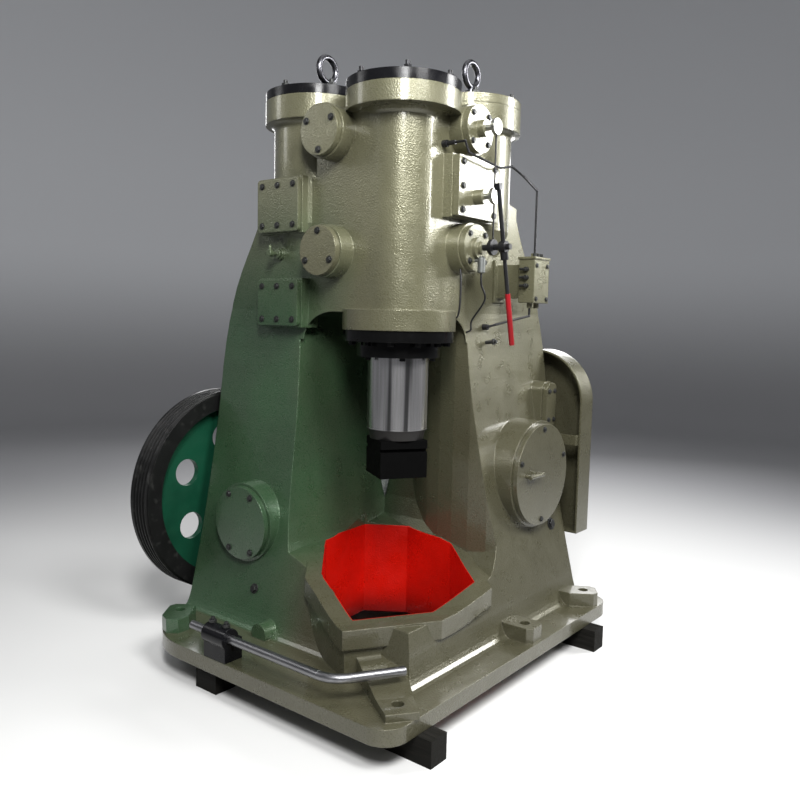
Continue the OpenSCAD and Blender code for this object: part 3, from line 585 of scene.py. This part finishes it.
def valve_side_bolts():
    for node in ("upper_valve_cover", "lower_valve_cover"):
        c = face(node, "x", 1)
        c[0] -= VALVE_NECK
        spots = on_circle(c, "x", SMALL_CIRCLE, (45, 135, 225, 315))
        bolts(node + "_bolts", spots, RIGHT, VALVE_HEAD)
    lo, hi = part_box("valve_plate")
    # measured from the plate's back, because a boss stands out from its face
    spots = on_plate(lo[0] + PLATE_THICK, (lo[1] + PLATE_EDGE, hi[1] - PLATE_EDGE),
                     (lo[2] + PLATE_END, (lo[2] + hi[2]) / 2, hi[2] - PLATE_END))
    bolts("valve_plate_bolts", spots, RIGHT)
    spots = on_circle(face("crankcase_cover", "x", 1), "x", CRANKCASE_CIRCLE, (90, 270, 20, 160))
    bolts("crankcase_cover_bolts", spots, RIGHT, VALVE_HEAD)
    lo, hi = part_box("bearing_cap")
    spots = on_plate(hi[0], (lo[1] + CAP_EDGE, hi[1] - CAP_EDGE),
                     (lo[2] + CAP_END, hi[2] - CAP_END))
    bolts("bearing_cap_bolts", spots, RIGHT, CAP_HEAD)
    lo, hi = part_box("lubricator_box")
    spots = on_plate(hi[0] - BOX_STEP, (lo[1] + CAP_EDGE, hi[1] - CAP_EDGE),
                     (lo[2] + CAP_END, hi[2] - BOX_TOP))
    bolts("lubricator_bolts", spots, RIGHT, BOX_HEAD)


# ---------------------------------------------------------------- plugs, unions, feed lines
FAR = 2                             # a line towards the casting starts this far out
SINK = 0.002                        # a rod or tube ends this deep in what carries it
FEED_R = 0.004
PLUG_H = 0.012
# where the line to each plug starts, its way, and the plug's radius
PLUGS = (((RAM[0] - 0.454, -FAR, 0.219), BACK, 0.016),
         ((FAR, RAM[1] + 0.785, 0.418), LEFT, 0.022))
PIN_START = (FAR, RAM[1] + 0.420, 1.274)
PIN_R, PIN_END = 0.008, 0.055
PIN_COLLAR_R, PIN_COLLAR_FROM, PIN_COLLAR_TO = 0.014, 0.035, 0.045
UNIONS_UP = (0.165, 0.130, 0.095)       # elbows on the lubricator's front side, from its lower edge
STUBS_ALONG = (0.030, 0.060, 0.090)     # stubs in its top, from its front side
STUDS_ALONG = (0.022, 0.102)            # studs of the treadle bearing, from its left end


def wall_plugs():
    """a hexagon plug low on each seen side, and a pin with a collar on the valve side"""
    bm = bmesh.new()
    for start, way, r in PLUGS:
        pos, normal = on_wall(start, way)
        lathe(bm, [(r * 1.3, -0.001), (r * 1.3, 0.003), (r, 0.004), (r, PLUG_H),
                   (r * 0.8, PLUG_H + 0.002)], place_at(pos, normal), hexes=(2, 3, 4))
    pos, normal = on_wall(PIN_START, LEFT)
    rod(bm, pos - normal * SINK, pos + normal * PIN_END, PIN_R)
    rod(bm, pos + normal * PIN_COLLAR_FROM, pos + normal * PIN_COLLAR_TO, PIN_COLLAR_R)
    add_mesh("wall_plugs", bm, M["bolt"], "frame")


def oil_cup_and_feed_tubes():
    """cup under the lower valve cover, and two thin lines that bend into the frame's wall"""
    lo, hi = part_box("lower_valve_cover")
    face_x = hi[0] - VALVE_NECK
    cy, cz = middle((lo, hi))[1:]
    cup = (face_x + 0.030, cy - 0.012, cz - 0.070)
    bm = bmesh.new()
    rod(bm, (face_x - SINK, cup[1], cup[2] + 0.018), (cup[0], cup[1], cup[2] + 0.018), 0.007)
    lathe(bm, [(0.010, -0.034), (0.016, -0.030), (0.016, 0.024), (0.012, 0.030),
               (0.007, 0.034)], place_at(cup, UP))
    add_mesh("oil_cup", bm, M["tube"], "frame")

    bm = bmesh.new()
    wall = on_wall((FAR, cy + 0.060, 1.330), LEFT)[0].x
    tube(bm, [(cup[0], cup[1], cup[2] - 0.032), (cup[0], cup[1] + 0.004, cup[2] - 0.080),
              (cup[0] - 0.004, cup[1] + 0.040, cup[2] - 0.140),
              (wall + 0.030, cy + 0.055, 1.370), (wall + 0.022, cy + 0.060, 1.330),
              (wall - SINK, cy + 0.060, 1.318)], FEED_R)
    wall = on_wall((FAR, cy - 0.060, 1.380), LEFT)[0].x
    tube(bm, [(face_x - 0.050, cy - 0.050, cz - 0.072), (face_x - 0.040, cy - 0.055, cz - 0.120),
              (wall + 0.020, cy - 0.060, 1.440), (wall + 0.012, cy - 0.060, 1.390),
              (wall - SINK, cy - 0.060, 1.376)], FEED_R)
    add_mesh("feed_tubes", bm, M["dark"], "frame")


def lubricator_unions():
    """three elbows on the box's front side, and three stubs in its top"""
    lo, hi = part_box("lubricator_box")
    bm = bmesh.new()
    y0, x0 = lo[1] + 0.004, hi[0] - 0.080
    for z in (lo[2] + up for up in UNIONS_UP):
        rod(bm, (x0 + 0.040, y0 + 0.002, z), (x0 + 0.040, y0 - 0.018, z), 0.010)
        rod(bm, (x0 + 0.040, y0 - 0.014, z), (x0 + 0.012, y0 - 0.014, z), 0.006)
    for y in (lo[1] + along for along in STUBS_ALONG):
        rod(bm, (x0 + 0.060, y, hi[2] - 0.020), (x0 + 0.060, y, hi[2] - 0.002), 0.008)
    add_mesh("lubricator_unions", bm, M["bolt"], "frame")


def bearing_nuts():
    """two nuts on the treadle bearing, each with the end of its stud"""
    lo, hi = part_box("treadle_bearing")
    nut = (0.015, hi[2] - 0.014, hi[2] - 0.002, (0, 1, 2))
    stud = (0.008, hi[2] - 0.004, hi[2] + 0.008, ())
    bm = bmesh.new()
    for x in (lo[0] + along for along in STUDS_ALONG):
        for r, bottom, top, hexes in (nut, stud):
            lathe(bm, [(r, bottom), (r, top - 0.001), (r * 0.85, top)],
                  place_at((x, lo[1] + 0.040, 0), UP), hexes=hexes)
    add_mesh("bearing_nuts", bm, M["bolt"], "frame")


# ---------------------------------------------------------------- stage and light
FLOOR_R, COVE_R, WALL_TOP = 8.0, 4.0, 9.0       # flat floor, cove about it, wall above that
FLOOR_STEPS, COVE_STEPS = 72, 12
FLOOR_SEEN = (0.60, 0.60, 0.592)                # near the part, as seen and in reflections
FLOOR_LIT = (0.28, 0.28, 0.28)                  # near the part, for the light it throws back
FLOOR_FAR = (0.28, 0.28, 0.29)
FLOOR_SHINE, FLOOR_ROUGH = 0.2, 0.6
NEAR_R, FAR_R = 1.1, 5.2                        # the floor changes from near to far between these
WALL = (0.68, 0.69, 0.71)
FLOOR_Z, WALL_Z = 0.1, 2.6                      # and from floor to wall between these heights
WELL_SHADOW = (0.010, 0.009, 0.009)             # painted shadow on the floor, seen through the well
SKY, SKY_STRENGTH = (0.9, 0.93, 1.0, 1), 0.10

# name, place, what it points at, size, power in watts
LAMPS = (
    ("key_right", (3.1, -1.0, 4.0), (0.2, 0.0, 2.0), (1.3, 1.6), 210),
    ("back_box", (2.9, 3.4, 3.0), (0.4, 0.0, 2.0), (1.5, 1.5), 210),
    ("left_box", (-3.2, -2.6, 3.6), (-0.1, -0.2, 1.6), (0.9, 1.8), 26),
    ("front_strip", (2.4, -2.9, 3.9), (0.1, -0.1, 2.1), (0.8, 1.7), 270),
    ("top_soft", (0, 0.5, 6.0), (0, 0, 0), (4.0, 4.0), 50),
    ("back_left", (-4.5, 3.0, 3.2), (0, 0, 1.2), (2.0, 2.0), 60),
    ("back_right", (-1.6, 4.6, 2.3), (0.4, 0.2, 0.1), (2.6, 1.4), 60))


def floor_mesh():
    """round floor under the part that turns up into a wall"""
    profile = [(FLOOR_R / 2, 0.0), (FLOOR_R, 0.0)]
    for i in range(1, COVE_STEPS + 1):
        a = math.pi / 2 * i / COVE_STEPS
        profile.append((FLOOR_R + COVE_R * math.sin(a), COVE_R - COVE_R * math.cos(a)))
    profile.append((FLOOR_R + COVE_R, WALL_TOP))
    z0 = cad_box[0][2]
    turns = [2 * math.pi * k / FLOOR_STEPS for k in range(FLOOR_STEPS)]
    bm = bmesh.new()
    centre = bm.verts.new((0, 0, z0))
    rings = [[bm.verts.new((r * math.cos(a), r * math.sin(a), z0 + h)) for a in turns]
             for r, h in profile]
    for k in range(FLOOR_STEPS):
        bm.faces.new((centre, rings[0][k], rings[0][(k + 1) % FLOOR_STEPS]))
    for lo, hi in zip(rings, rings[1:]):
        for k in range(FLOOR_STEPS):
            n = (k + 1) % FLOOR_STEPS
            bm.faces.new((lo[k], hi[k], hi[n], lo[n]))
    me = bpy.data.meshes.new("studio_floor")
    bm.to_mesh(me)
    bm.free()
    me.shade_smooth()
    return me


def floor():
    """studio floor: pale near the part, grey far off, pale wall, painted shadow inside the well"""
    me = floor_mesh()
    ob = bpy.data.objects.new("studio_floor", me)
    scene.collection.objects.link(ob)
    t = Tree("studio_floor", FLOOR_SHINE)
    x, y, z = t.xyz()
    r = t.math("SQRT", t.math("ADD", t.math("MULTIPLY", x, x), t.math("MULTIPLY", y, y)))
    path = t.node("ShaderNodeLightPath").outputs
    seen = t.math("ADD", path["Is Camera Ray"], path["Is Glossy Ray"], clamp=True)
    seen = t.math("ADD", seen, path["Is Transmission Ray"], clamp=True)
    near = t.mix(seen, FLOOR_LIT, FLOOR_SEEN)
    sweep = t.mix(t.ramp(r, NEAR_R, FAR_R), near, FLOOR_FAR)
    sweep = t.mix(t.ramp(z, FLOOR_Z, WALL_Z), sweep, WALL)
    # painted shadow: the floor turns dark inside the well's outline
    t.paint(t.mix(inside_well(t, x, y, SHADOW_PAST), sweep, WELL_SHADOW), FLOOR_ROUGH)
    me.materials.append(t.mat)


def light():
    """faint sky, and the lamps of the table, which the camera doesn't see"""
    world = bpy.data.worlds.new("studio")
    scene.world = world
    world.use_nodes = True
    background = world.node_tree.nodes["Background"]
    background.inputs[0].default_value = SKY
    background.inputs[1].default_value = SKY_STRENGTH
    for name, pos, target, size, power in LAMPS:
        lamp = bpy.data.lights.new(name, "AREA")
        lamp.shape = "RECTANGLE"
        lamp.size, lamp.size_y = size
        lamp.energy = power
        ob = bpy.data.objects.new(name, lamp)
        scene.collection.objects.link(ob)
        ob.location = pos
        ob.rotation_euler = (Vector(target) - Vector(pos)).to_track_quat("-Z", "Y").to_euler()
        ob.visible_camera = False
    scene.view_settings.view_transform = "Standard"


camera()
paint_nodes()
treadle_side_bolts()
top_nuts()
valve_side_bolts()
wall_plugs()
oil_cup_and_feed_tubes()
lubricator_unions()
bearing_nuts()
floor()
light()
